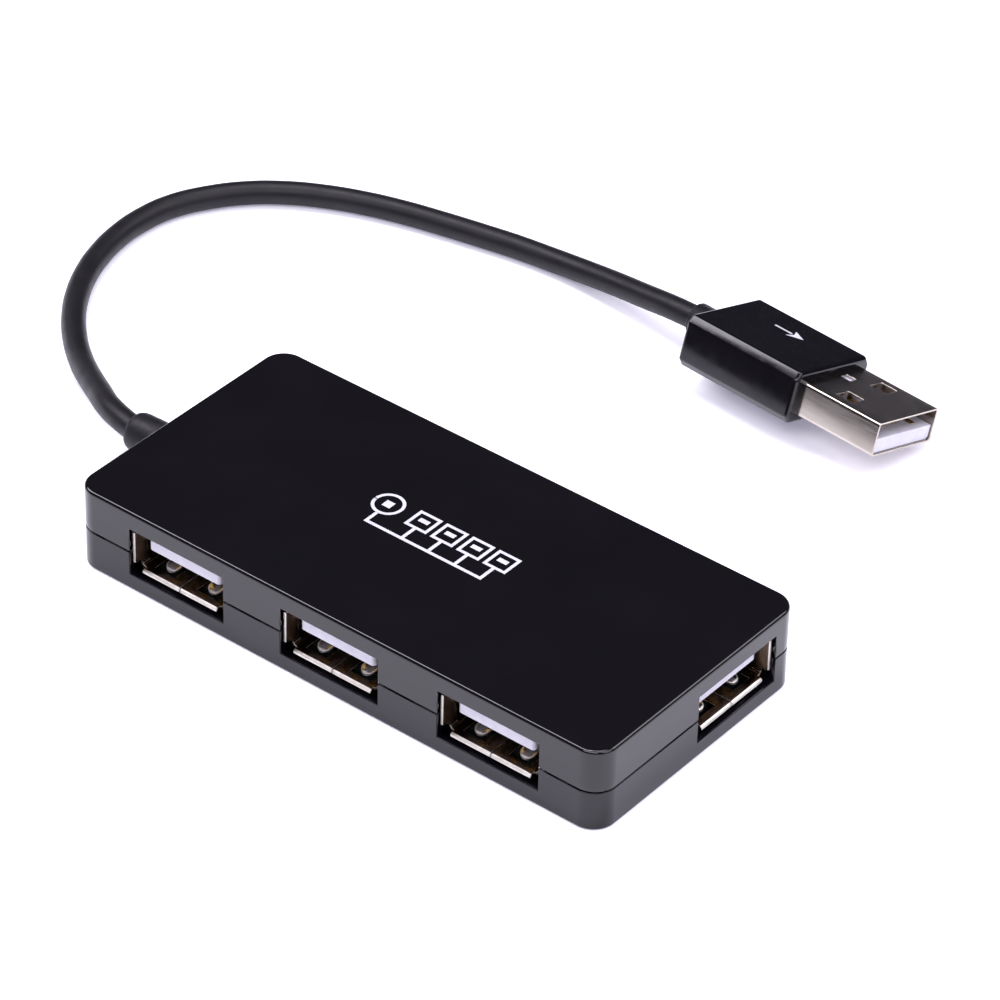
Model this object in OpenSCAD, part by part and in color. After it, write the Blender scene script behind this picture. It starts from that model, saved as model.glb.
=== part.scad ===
// Four-port USB hub with a short captive lead, in millimetres.
// The origin is the middle of the underside. +X runs along the case towards the end port,
// -Y is the side with the row of three ports, and +Z is up.

/* [Case] */
// Length of the case, along the row of three ports
body_l = 79; // [78:0.5:82]
// Width of the case, from the row of ports to the back
body_w = 37.5; // [37:0.5:40]
// Height of the case
body_h = 11.3; // [11.3:0.1:12.5]
// Radius of the four upright corners
corner_r = 3; // [2.2:0.1:4]
// Height of the joint between the two halves of the case
parting_z = 5.45; // [5.3:0.05:5.6]
// Width of the shadow gap in that joint
parting_gap = 0.2; // [0.1:0.05:0.3]
// Thickness of the side walls
wall = 1.5; // [1.4:0.1:1.7]
// Thickness of the floor
floor_t = 1.3; // [1:0.1:1.4]
// Thickness of the top
roof_t = 1.4; // [1:0.1:1.6]
// Size of the broken edge around the top
top_edge = 0.35; // [0.2:0.05:0.5]

/* [Ports] */
// Distance between the three ports of the long side
port_pitch = 23.5; // [22.5:0.5:24]
// Distance of the end port from the middle of its side
end_port_y = 7; // [6.8:0.1:8]
// Width of each opening in the case
port_cut_w = 14.7; // [14.6:0.1:15]
// Height of the lower edge of each opening
port_cut_z = 2.2; // [2:0.05:2.4]
// Height of each opening
port_cut_h = 6.6; // [6.6:0.1:6.8]
// How far the metal shell stays behind the face of the case
shell_recess = 0.6; // [0.4:0.1:0.8]

/* [Circuit board] */
// Thickness of the circuit board
board_t = 1; // [0.8:0.1:1]
// Height of the upper face of the circuit board
board_top = 2.95; // [2.9:0.05:2.95]

/* [Lead] */
// Diameter of the lead
cord_d = 3.2; // [2.8:0.1:3.3]
// Diameter of the moulded strain relief
relief_d = 5.2; // [4.8:0.1:5.6]
// Length of the strain relief outside the case
relief_l = 7.5; // [6:0.5:9]

/* [Plug] */
// Width of the metal plug shell
plug_w = 12.1; // [12:0.1:12.1]
// Height of the metal plug shell
plug_h = 4.6; // [4.5:0.1:4.6]
// Length of shell that stands out of the grip
plug_l = 12.4; // [11.8:0.1:13.5]
// Length of the moulded grip
grip_l = 18.2; // [14:0.1:20]
// Width of the moulded grip
grip_w = 14.8; // [13.8:0.1:15.5]
// Height of the moulded grip
grip_h = 7; // [6.4:0.1:8]
// How far the plug lies rolled about its own length, in degrees
plug_roll = -16.5; // [-20:0.5:0]
// Direction of the plug on the table, in degrees from +X
plug_yaw = -5; // [-10:1:10]

/* [Hidden] */
$fn = 48;

case_black = "#1d1c20";
board_mask = "#17211d";
chip_black = "#26262a";
nickel = "#d3cfc9";
gold = "#d8b25a";
white_nylon = "#f1f0f6";
lead_black = "#2a292d";
ceramic = "#b08a5e";

eps = 0.01;
fit_gap = 0.1;

// Case joint: the lower half carries a lip that stands behind the upper half's wall.
lip_t = 0.65;
lip_h = 1;
lower_top = parting_z - parting_gap / 2;
upper_bottom = parting_z + parting_gap / 2;
roof_z = body_h - roof_t;
inner_r = corner_r - wall;

// Board supports: [x, y] of each post.
posts = [[-11.75, -12], [11.75, -12], [-31, 12.5], [19, 12.5]];
post_d = 3.4;
post_pin_d = 1.4;
board_hole_d = 1.7;
board_x0 = -35.5;
board_x1 = 36.5;
board_y0 = -15.75;
board_y1 = 16.4;

// Snap hooks of the upper half: [x, y, direction it faces in degrees].
hooks = [
    [-24, body_w / 2, 90], [0, body_w / 2, 90], [24, body_w / 2, 90],
    [-11.75, -body_w / 2, -90], [11.75, -body_w / 2, -90],
    [-body_l / 2, -10.5, 180], [-body_l / 2, 10.5, 180], [body_l / 2, -10.5, 0]
];
hook_w = 3.6;
hook_t = 0.9;
hook_z = 3.3;
barb = 0.45;

// Receptacle, in its own frame: X across, Y into the case from its outer face, Z up.
sheet = 0.3;
shell_in_w = 12.5;
shell_in_h = 5.12;
shell_z = 3.3;
shell_top = shell_z + shell_in_h;
shell_back = 14.3;
flare_len = 0.65;
side_flare = 0.7;
floor_flare = 0.3;
flap_w = 11.6;
flap_h = 4.3;
seam = 0.14;
finger_x = 3.3;
finger_w = 2;
finger_tip = 2.5;
finger_root = 8.6;
window_w = 3.1;
leg_y = [5.2, 11];
leg_w = 1.6;
tongue_w = 11.1;
tongue_t = 1.84;
tongue_gap = 0.64;
tongue_front = shell_recess + 0.95;
tongue_top = shell_top - tongue_gap;
tongue_z = tongue_top - tongue_t;
block_front = 10.4;
block_back = 13.9;
pin_x = [-3.5, -1, 1, 3.5];
blade_w = 0.9;
blade_t = 0.2;
slot_w = 1.3;
slot_h = 1.35;
slot_front = tongue_front + 0.9;
root_z = tongue_z + 0.85;
tail_y = 12.8;
tail_t = 0.25;
tail_bottom = 1.5;
// Side view of one spring, [depth, height]: root, middle, contact bump, tip.
spring_path = [
    [block_front - 0.03, root_z], [6.5, tongue_z + 0.56],
    [4.3, tongue_z - 0.39], [3.1, tongue_z + 0.66]
];

// Parts on the board.
chip_x = -4;
chip_y = 4.5;
crystal_x = -4.5;
crystal_y = 12;
capacitors = [
    [-14, 2.5, 90], [-14, 5.5, 90], [6, 4, 90], [-12.5, 9.5, 0], [3.8, 12, 90], [12, -1.5, 0],
    [-12, -1.5, 0], [21, -1.6, 0]
];
resistors = [[8.5, 4, 90], [11, 4, 90], [7, 12, 90]];

// Strain relief: a neck in the case wall, with a flange behind it; the stripped lead ends inside.
relief_z = parting_z;
neck_d = 4.4;
flange_d = 6.2;
flange_t = 1.4;
flange_x = -body_l / 2 + wall + fit_gap;
tail_x = flange_x + flange_t;
jacket_out = 2.4;
wire_d = 0.85;

// Route of the lead from the strain relief to the plug, as its centre line.
route = [
    [-47, 0, 5.45], [-49.9, 0.7, 5.4], [-52.8, 1.85, 5.05], [-56.92, 4.41, 4.1],
    [-61.11, 7.15, 3], [-65.14, 10.01, 2.1], [-69.09, 13.19, 1.7], [-72.94, 17.06, 1.65],
    [-75.76, 20.78, 1.65], [-78.13, 24.95, 1.65], [-79.92, 29.53, 1.65], [-81.02, 34.29, 1.65],
    [-81.25, 39.13, 1.65], [-80.42, 44.14, 1.65], [-78.12, 48.89, 1.65], [-75.04, 52.95, 1.65],
    [-71.27, 56.23, 1.65], [-66.89, 58.89, 1.65], [-61.92, 61.08, 1.65], [-56.5, 62.8, 1.65],
    [-50.9, 64.1, 1.65], [-45.45, 65.19, 1.65], [-40, 66.16, 1.65], [-34.5, 66.7, 1.75],
    [-29, 66.6, 2.3], [-23.5, 66.01, 3.15], [-18, 65.07, 4.15], [-13.5, 64.35, 4.95],
    [-9.4, 63.97, 5.28]
];
tube_sides = 8;

// Plug, in its own frame: X towards the tip from the end of the lead, Y across, Z up.
plug_pos = route[len(route) - 1];
collar_l = 4;
collar_d = 4.4;
grip_x = collar_l;
grip_end = grip_x + grip_l;
plug_tip = grip_end + plug_l;
plug_r = 0.5;
shell_embed = 4;
latch_x = plug_tip - 6.9;
latch_y = 3.4;
latch_l = 2.6;
latch_w = 2.3;
plug_block_h = 1.95;
plug_block_w = 11.3;
plug_block_rear_h = 3.9;
small_hole_l = 1.5;
small_hole_x = plug_tip - 11.6;

// ---------- shared shapes ----------

// Upright block with rounded corners and, if chamfer is above 0, a broken upper edge.
module rounded_block(l, w, r, z0, z1, chamfer = 0) {
    h = z1 - z0;
    translate([0, 0, z0]) {
        bar(l, w - 2 * r, h, chamfer, 0);
        bar(w, l - 2 * r, h, chamfer, 90);
        for (sx = [-1, 1], sy = [-1, 1])
            translate([sx * (l / 2 - r), sy * (w / 2 - r), 0])
                rotate_extrude()
                    polygon([[0, 0], [r, 0], [r, h - chamfer], [r - chamfer, h], [0, h]]);
    }
}

// Bar of length l along X, chamfered at the tops of its two ends, turned about Z.
module bar(l, w, h, chamfer, turn) {
    rotate([0, 0, turn])
        translate([0, w / 2, 0])
            rotate([90, 0, 0])
                linear_extrude(w)
                    polygon([
                        [-l / 2, 0], [l / 2, 0], [l / 2, h - chamfer],
                        [l / 2 - chamfer, h], [-l / 2 + chamfer, h], [-l / 2, h - chamfer]
                    ]);
}

// Rectangle with rounded corners, centred.
module rounded_rect(w, h, r) {
    square([w, h - 2 * r], center = true);
    square([w - 2 * r, h], center = true);
    for (sx = [-1, 1], sy = [-1, 1])
        translate([sx * (w / 2 - r), sy * (h / 2 - r)]) circle(r);
}

// Box between two opposite corners.
module span(a, b) {
    translate(a) cube(b - a);
}

// A [depth, height] outline drawn in the YZ plane and given width from x0 to x1.
module side_outline(points, x0, x1) {
    translate([x0, 0, 0])
        rotate([90, 0, 90])
            linear_extrude(x1 - x0)
                polygon(points);
}

// A strip of thickness t whose centre line is the given list of [depth, height] points.
function strip(path, t) = concat(
    [for (p = path) p + [0, t / 2]],
    [for (i = [len(path) - 1 : -1 : 0]) path[i] - [0, t / 2]]
);

// Places its children at port 1, 2, 3 or 4.
module at_port(number) {
    if (number < 4)
        translate([(number - 2) * port_pitch, -body_w / 2, 0]) children();
    else
        translate([body_l / 2, end_port_y, 0]) rotate([0, 0, 90]) children();
}

// ---------- case ----------

// Openings for the four ports and the round hole for the strain relief.
module case_openings() {
    for (number = [1 : 4])
        at_port(number)
            translate([-port_cut_w / 2, -1, port_cut_z])
                cube([port_cut_w, 1 + wall + 1, port_cut_h]);
    translate([-body_l / 2 - 1, 0, relief_z])
        rotate([0, 90, 0])
            cylinder(d = neck_d + 2 * fit_gap, h = wall + 2);
}

module bottom_shell() {
    color(case_black)
    difference() {
        union() {
            rounded_block(body_l, body_w, corner_r, 0, lower_top);
            rounded_block(body_l - 2 * (wall - lip_t), body_w - 2 * (wall - lip_t),
                corner_r - wall + lip_t, lower_top - eps, parting_z + lip_h);
        }
        rounded_block(body_l - 2 * wall, body_w - 2 * wall, inner_r, floor_t, body_h);
        case_openings();
        for (hook = hooks)
            translate([hook[0], hook[1], hook_z - fit_gap])
                rotate([0, 0, hook[2]])
                    translate([-wall - 1, -hook_w / 2 - 0.3, 0])
                        cube([1.5, hook_w + 0.6, 1.3]);
    }
    color(case_black)
    for (post = posts)
        translate([post[0], post[1], floor_t - eps]) {
            cylinder(d = post_d, h = board_top - board_t - floor_t + eps);
            cylinder(d = post_pin_d, h = board_top - floor_t + 0.6);
        }
}

module top_cover() {
    color(case_black)
    difference() {
        rounded_block(body_l, body_w, corner_r, upper_bottom, body_h, top_edge);
        rounded_block(body_l - 2 * wall, body_w - 2 * wall, inner_r, 0, roof_z);
        rounded_block(body_l - 2 * (wall - lip_t - fit_gap), body_w - 2 * (wall - lip_t - fit_gap),
            corner_r - wall + lip_t + fit_gap, 0, parting_z + lip_h + fit_gap);
        case_openings();
    }
    color(case_black)
    for (post = posts)
        translate([post[0], post[1], board_top + 0.05])
            difference() {
                cylinder(d = post_d, h = roof_z - board_top);
                translate([0, 0, -1]) cylinder(d = board_hole_d, h = 2);
            }
    color(case_black)
    for (hook = hooks)
        translate([hook[0], hook[1], 0])
            rotate([0, 0, hook[2]])
                snap_hook();
}

// Springy leg with an outward barb, against the inside of a wall whose outer face is at x = 0.
module snap_hook() {
    face = -wall - fit_gap;
    translate([0, hook_w / 2, 0])
        rotate([90, 0, 0])
            linear_extrude(hook_w)
                polygon([
                    [face - hook_t, roof_z + eps], [face - hook_t, hook_z], [face - 0.2, hook_z],
                    [face + barb, hook_z + 0.8], [face, hook_z + 1], [face, roof_z + eps]
                ]);
}

// ---------- circuit board ----------

module circuit_board() {
    color(board_mask)
    difference() {
        span([board_x0, board_y0, board_top - board_t], [board_x1, board_y1, board_top]);
        for (post = posts)
            translate([post[0], post[1], 0]) cylinder(d = board_hole_d, h = body_h);
        for (number = [1 : 4])
            at_port(number) {
                for (x = pin_x)
                    translate([x, tail_y, 0]) cylinder(d = 1.15, h = body_h);
                for (side = [-1, 1], y = leg_y)
                    translate([side * (shell_in_w + sheet) / 2 - 0.4, y - leg_w / 2 - 0.3, 0])
                        cube([0.8, leg_w + 0.6, body_h]);
            }
    }
}

// Narrow 28-lead package of the hub chip.
module hub_controller() {
    color(chip_black)
    translate([chip_x, chip_y, board_top]) {
        span([-5, -1.95, 0.15], [5, 1.95, 1.65]);
        for (i = [0 : 13], side = [-1, 1])
            translate([(i - 6.5) * 0.65, side * 2.4, 0]) {
                translate([-0.13, -0.5, 0.02]) cube([0.26, 1, 0.2]);
            }
    }
}

module crystal() {
    color(nickel)
    translate([crystal_x, crystal_y, board_top + 0.05]) {
        linear_extrude(0.4) rounded_rect(11.4, 4.7, 2.3);
        translate([0, 0, 0.4 - eps]) linear_extrude(3.1) rounded_rect(10.4, 3.8, 1.85);
    }
}

// Ceramic chip with its two metal ends as one block.
module chip(part, l, w, h) {
    translate([part[0], part[1], board_top + 0.02])
        rotate([0, 0, part[2]])
            translate([-l / 2, -w / 2, 0])
                cube([l, w, h]);
}

module chip_capacitors() {
    color(ceramic) for (part = capacitors) chip(part, 2, 1.25, 0.9);
}

module chip_resistors() {
    color(chip_black) for (part = resistors) chip(part, 1.6, 0.8, 0.45);
}

// ---------- ports ----------

// One sheet-metal flap at the mouth, drawn as a leaning strip: inner face at the root, then the lean.
function flap(root, lean) = [
    [shell_recess + flare_len + eps, root], [shell_recess + flare_len + eps, root + sheet],
    [shell_recess, root + sheet + lean], [shell_recess, root + lean]
];

// Spring finger cut from a flat wall at height 0, curving upwards into the opening.
module finger(rise) {
    intersection() {
        side_outline([
            [finger_root + eps, 0], [finger_root + eps, sheet], [finger_root - 0.5, sheet],
            [finger_tip + 1.9, sheet + rise], [finger_tip + 1.1, sheet + rise],
            [finger_tip, sheet], [finger_tip, 0],
            [finger_tip + 1.1, rise], [finger_tip + 1.9, rise], [finger_root - 0.5, 0]
        ], -finger_w, finger_w);
        linear_extrude(4, center = true) {
            translate([-finger_w / 2, finger_tip + finger_w / 2])
                square([finger_w, finger_root - finger_tip]);
            translate([0, finger_tip + finger_w / 2]) circle(d = finger_w);
        }
    }
}

module port_shell(number) {
    mouth = shell_recess + flare_len;
    color(nickel)
    at_port(number) {
        difference() {
            translate([0, shell_back, shell_z + shell_in_h / 2])
                rotate([90, 0, 0])
                    linear_extrude(shell_back - mouth)
                        difference() {
                            rounded_rect(shell_in_w + 2 * sheet, shell_in_h + 2 * sheet, 0.6);
                            rounded_rect(shell_in_w, shell_in_h, 0.3);
                        }
            // windows around the spring fingers, in the floor and in the roof
            for (side = [-1, 1])
                span([side * finger_x - window_w / 2, finger_tip - 0.7, 0],
                    [side * finger_x + window_w / 2, finger_root, body_h]);
            // the folded sheet's seam, and the gap at its end that the contact tails go down through
            span([-seam / 2, 0, 0], [seam / 2, tail_y, shell_z + 1]);
            span([-4.6, tail_y - 0.6, 0], [4.6, tail_y + 0.6, shell_z + 0.1]);
        }
        // back plate
        span([-shell_in_w / 2 - sheet / 2, shell_back - sheet, shell_z - sheet / 2],
            [shell_in_w / 2 + sheet / 2, shell_back, shell_top + sheet / 2]);
        // flaps of the mouth: floor in two halves, then roof, then sides
        for (side = [0, 1])
            mirror([side, 0, 0])
                side_outline(flap(shell_z - sheet, -floor_flare), seam / 2, flap_w / 2);
        side_outline(flap(shell_top, 0), -flap_w / 2, flap_w / 2);
        for (side = [0, 1])
            mirror([side, 0, 0])
                translate([0, 0, shell_z + (shell_in_h - flap_h) / 2])
                    linear_extrude(flap_h)
                        polygon([for (p = flap(shell_in_w / 2, side_flare)) [p[1], p[0]]]);
        // spring fingers
        for (side = [-1, 1]) {
            translate([side * finger_x, 0, shell_z - sheet]) finger(0.42);
            translate([side * finger_x, 0, shell_top + sheet]) mirror([0, 0, 1]) finger(0.3);
        }
        // legs through the board
        for (side = [-1, 1], y = leg_y)
            translate([side * (shell_in_w + sheet) / 2 - sheet / 2, y - leg_w / 2, 1.6])
                cube([sheet, leg_w, shell_z + 0.6 - 1.6]);
    }
}

module port_insulator(number) {
    round_r = 0.5;
    color(white_nylon)
    at_port(number)
        difference() {
            union() {
                translate([0, block_back, shell_z + shell_in_h / 2])
                    rotate([90, 0, 0])
                        linear_extrude(block_back - block_front)
                            rounded_rect(shell_in_w - 0.1, shell_in_h - 0.1, 0.45);
                translate([0, 0, tongue_z])
                    linear_extrude(tongue_t)
                        union() {
                            translate([-tongue_w / 2, tongue_front + round_r])
                                square([tongue_w, block_front - tongue_front]);
                            translate([-tongue_w / 2 + round_r, tongue_front])
                                square([tongue_w - 2 * round_r, 2]);
                            for (side = [-1, 1])
                                translate([side * (tongue_w / 2 - round_r), tongue_front + round_r])
                                    circle(round_r);
                        }
            }
            for (x = pin_x) {
                span([x - slot_w / 2, slot_front, tongue_z - 1],
                    [x + slot_w / 2, block_front + eps, tongue_z + slot_h]);
                span([x - blade_w / 2 - 0.1, block_front, 0],
                    [x + blade_w / 2 + 0.1, tail_y + tail_t, root_z + 0.25]);
            }
        }
}

// The four springs under the tongue; they turn about their roots.
module port_springs(number) {
    color(gold)
    at_port(number)
        for (x = pin_x)
            side_outline(strip(spring_path, blade_t), x - blade_w / 2, x + blade_w / 2);
}

// The fixed half of the same four contacts, from the spring roots down through the board.
module port_tails(number) {
    color(gold)
    at_port(number)
        for (x = pin_x) {
            span([x - blade_w / 2, block_front, root_z - blade_t / 2],
                [x + blade_w / 2, tail_y + tail_t / 2, root_z + blade_t / 2]);
            span([x - blade_w / 2 + 0.1, tail_y - tail_t / 2, tail_bottom],
                [x + blade_w / 2 - 0.1, tail_y + tail_t / 2, root_z]);
        }
}

// ---------- lead ----------

// Turned body along -X whose [radius, distance] outline starts at x = 0.
module turned(points, x) {
    translate([x, 0, relief_z])
        rotate([0, -90, 0])
            rotate_extrude()
                polygon(points);
}

module strain_relief() {
    out_r = relief_d / 2;
    face = wall + fit_gap + flange_t;
    color(lead_black)
    turned([
        [0, 0], [flange_d / 2, 0], [flange_d / 2, flange_t], [neck_d / 2, flange_t],
        [neck_d / 2, face], [out_r, face], [out_r - 0.1, face + relief_l - 0.6],
        [out_r - 0.6, face + relief_l], [0, face + relief_l]
    ], tail_x);
}

module lead_end() {
    color(lead_black) turned([[0, 0], [cord_d / 2, 0], [cord_d / 2, jacket_out], [0, jacket_out]],
        tail_x + jacket_out);
}

// One conductor: straight out of the jacket, then down to its pad on the board.
module wire(row, level, pad_y, tint) {
    x0 = tail_x + jacket_out;
    y0 = row * 0.55;
    z0 = relief_z + level * 0.55;
    pad_z = board_top + wire_d / 2 + 0.05;
    color(tint)
    tube([
        [x0, y0, z0], [x0 + 1, y0, z0 - 0.05], [x0 + 2.6, (y0 + pad_y) / 2, (z0 + pad_z) / 2],
        [x0 + 4.2, pad_y, pad_z + 0.05], [x0 + 5.4, pad_y, pad_z]
    ], wire_d, [1, 0, 0], [1, 0, 0]);
}

// Direction of travel at point i of a path whose first and last directions are given.
function heading(path, i, first, last) =
    i == 0 ? first
        : i == len(path) - 1 ? last
        : (path[i + 1] - path[i - 1]) / norm(path[i + 1] - path[i - 1]);

// Ring of points around p, square to the direction of travel.
function ring(p, dir, d) =
    let (side = cross(dir, [0, 0, 1]), across = side / norm(side), up = cross(across, dir))
    [for (k = [0 : tube_sides - 1])
        let (a = 360 * k / tube_sides)
        p + d / 2 * (cos(a) * across + sin(a) * up)];

// Tube of diameter d swept along a path as one closed body.
module tube(path, d, first, last) {
    n = tube_sides;
    count = len(path);
    points = [for (i = [0 : count - 1]) each ring(path[i], heading(path, i, first, last), d)];
    start_cap = [[for (k = [0 : n - 1]) k]];
    end_cap = [[for (k = [n - 1 : -1 : 0]) (count - 1) * n + k]];
    sides = [
        for (i = [0 : count - 2], k = [0 : n - 1])
            [i * n + k, (i + 1) * n + k, (i + 1) * n + (k + 1) % n, i * n + (k + 1) % n]
    ];
    polyhedron(points, concat(start_cap, sides, end_cap), convexity = 6);
}

module lead() {
    color(lead_black) tube(route, cord_d, [-1, 0, 0], [cos(plug_yaw), sin(plug_yaw), 0]);
}

// ---------- plug ----------

// Places its children in the plug's own frame.
module at_plug() {
    translate(plug_pos) rotate([plug_roll, 0, plug_yaw]) children();
}

// A cross-section drawn in the plug's YZ plane, from x0 to x1.
module plug_prism(x0, x1) {
    translate([x0, 0, 0]) rotate([90, 0, 90]) linear_extrude(x1 - x0) children();
}

module plug_grip() {
    flat_w = grip_w - 1.6;
    side_h = grip_h - 2;
    color(case_black)
    at_plug()
        difference() {
            union() {
                plug_prism(grip_x, grip_end)
                    polygon([
                        [-grip_w / 2, -side_h / 2], [-flat_w / 2, -grip_h / 2],
                        [flat_w / 2, -grip_h / 2], [grip_w / 2, -side_h / 2],
                        [grip_w / 2, side_h / 2], [flat_w / 2, grip_h / 2],
                        [-flat_w / 2, grip_h / 2], [-grip_w / 2, side_h / 2]
                    ]);
                rotate([0, 90, 0]) cylinder(d = collar_d, h = grip_x + 1);
            }
            plug_prism(grip_end - shell_embed - 0.02, grip_end + 1)
                rounded_rect(plug_w + 0.04, plug_h + 0.04, plug_r);
            // shallow step around the shell
            plug_prism(grip_end - 0.5, grip_end + 1)
                rounded_rect(plug_w + 0.7, plug_h + 0.7, 0.7);
        }
}

module plug_shell() {
    x0 = grip_end - shell_embed;
    color(nickel)
    at_plug()
        difference() {
            plug_prism(x0, plug_tip)
                difference() {
                    rounded_rect(plug_w, plug_h, plug_r);
                    rounded_rect(plug_w - 2 * sheet, plug_h - 2 * sheet, plug_r - 0.25);
                }
            // latch holes through the roof and the floor
            for (side = [-1, 1])
                translate([latch_x - latch_l / 2, side * latch_y - latch_w / 2, -plug_h])
                    cube([latch_l, latch_w, 2 * plug_h]);
            // small hole near the grip, off the middle
            translate([small_hole_x, 0.6, 0]) cube([small_hole_l, 1.2, plug_h]);
        }
}

module plug_insulator() {
    floor_z = -plug_h / 2 + sheet;
    x0 = grip_end - shell_embed;
    half = plug_block_w / 2;
    corner = 0.3;
    color(white_nylon)
    at_plug()
        difference() {
            union() {
                plug_prism(x0, plug_tip - 0.25)
                    translate([0, floor_z])
                        polygon([
                            [-half, plug_block_h], [-half, corner], [corner - half, 0.01],
                            [half - corner, 0.01], [half, corner], [half, plug_block_h]
                        ]);
                // the rear of the block fills the shell, and shows through its small hole
                span([x0, corner - half, floor_z + plug_block_h / 2],
                    [small_hole_x + small_hole_l + 0.3, half - corner,
                        floor_z + plug_block_rear_h]);
            }
            for (x = pin_x)
                span([x0 - 1, x - 0.52, floor_z + plug_block_h - 0.2],
                    [contact_front(x) + 0.02, x + 0.52, floor_z + plug_block_h + 1]);
        }
}

// The two outer contacts reach further forward, so that power connects first.
function contact_front(x) = plug_tip - (abs(x) > 2 ? 1.6 : 2.6);

module plug_contacts() {
    top = -plug_h / 2 + sheet + plug_block_h;
    color(gold)
    at_plug()
        for (x = pin_x)
            span([grip_end - shell_embed, x - 0.5, top - 0.19],
                [contact_front(x), x + 0.5, top + 0.01]);
}

// ---------- what is drawn ----------

bottom_shell();
top_cover();
circuit_board();
hub_controller();
crystal();
chip_capacitors();
chip_resistors();
port_shell(1);  // port_1_shell
port_shell(2);  // port_2_shell
port_shell(3);  // port_3_shell
port_shell(4);  // port_4_shell
port_insulator(1);  // port_1_insulator
port_insulator(2);  // port_2_insulator
port_insulator(3);  // port_3_insulator
port_insulator(4);  // port_4_insulator
port_springs(1);  // port_1_springs
port_springs(2);  // port_2_springs
port_springs(3);  // port_3_springs
port_springs(4);  // port_4_springs
port_tails(1);  // port_1_tails
port_tails(2);  // port_2_tails
port_tails(3);  // port_3_tails
port_tails(4);  // port_4_tails
strain_relief();
lead_end();
wire(-1, 1, -2.4, "firebrick");  // red_wire
wire(-1, -1, -0.8, "gainsboro");  // white_wire
wire(1, -1, 0.8, "seagreen");  // green_wire
wire(1, 1, 2.4, "black");  // black_wire
lead();
plug_grip();
plug_shell();
plug_insulator();
plug_contacts();
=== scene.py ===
# Four-port USB hub with a short captive lead, put together piece by piece. Sizes are in
# millimetres and become metres when a mesh is made. The studio and the lead's route are in metres.
import math
import bmesh
import bpy
from mathutils import Matrix, Vector


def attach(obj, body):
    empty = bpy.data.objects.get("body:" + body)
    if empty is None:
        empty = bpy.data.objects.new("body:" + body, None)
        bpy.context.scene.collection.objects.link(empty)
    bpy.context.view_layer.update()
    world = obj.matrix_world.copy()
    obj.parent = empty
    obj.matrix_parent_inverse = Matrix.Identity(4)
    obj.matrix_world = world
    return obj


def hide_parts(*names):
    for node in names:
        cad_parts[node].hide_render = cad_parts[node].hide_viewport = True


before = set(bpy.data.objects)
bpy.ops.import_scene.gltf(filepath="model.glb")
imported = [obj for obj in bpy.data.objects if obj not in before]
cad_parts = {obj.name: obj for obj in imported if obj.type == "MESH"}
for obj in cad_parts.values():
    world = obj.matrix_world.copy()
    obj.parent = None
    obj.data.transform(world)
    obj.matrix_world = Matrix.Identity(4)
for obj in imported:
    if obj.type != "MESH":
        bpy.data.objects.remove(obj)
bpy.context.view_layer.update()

# ---------- the camera, the table and the studio ----------
# A long lens looks down at the hub from its front right corner, held slightly off level. The
# whole object fills the frame, and the pale table runs out of it on every side.
camera_data = bpy.data.cameras.new("long_lens")
camera_data.lens = 180.29
camera_data.sensor_width = 36
camera_data.clip_start = 0.05
camera = bpy.data.objects.new("camera", camera_data)
bpy.context.scene.collection.objects.link(camera)
bpy.context.scene.camera = camera
turn, dip, tilt = math.radians(37.905), math.radians(36.637), math.radians(-1.526)
level = Vector((math.cos(turn), math.sin(turn), 0))
look = Vector((-math.sin(turn) * math.cos(dip), math.cos(turn) * math.cos(dip), -math.sin(dip)))
drop = look.cross(level)
across = math.cos(tilt) * level + math.sin(tilt) * drop
down = -math.sin(tilt) * level + math.cos(tilt) * drop
camera.matrix_world = (Matrix.Translation((0.29233, -0.36284, 0.36410))
                       @ Matrix((across, -down, -look)).transposed().to_4x4())


def srgb(code):
    """A hex colour as the linear RGBA that the shaders take."""
    parts = [int(code[i:i + 2], 16) / 255 for i in (1, 3, 5)]
    return [c / 12.92 if c <= 0.04045 else ((c + 0.055) / 1.055) ** 2.4 for c in parts] + [1]


def add_node(material, kind, settings=None, links=None):
    """Adds one node. Settings are its sockets' values; links feed them from (node, output)."""
    made = material.node_tree.nodes.new(kind)
    for key, value in (settings or {}).items():
        made.inputs[key].default_value = value
    for key, (source, output) in (links or {}).items():
        material.node_tree.links.new(source.outputs[output], made.inputs[key])
    return made


def finish_of(name, colour, roughness, metallic=0, ior=1.5, **more):
    """A new finish on one surface shader; more sets its other sockets, with _ for a space."""
    finish = bpy.data.materials.new(name)
    finish.use_nodes = True
    sockets = {"Base Color": srgb(colour), "Roughness": roughness, "Metallic": metallic,
               "IOR": ior, **{key.replace("_", " "): value for key, value in more.items()}}
    for socket, value in sockets.items():
        finish.node_tree.nodes["Principled BSDF"].inputs[socket].default_value = value
    return finish


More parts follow.
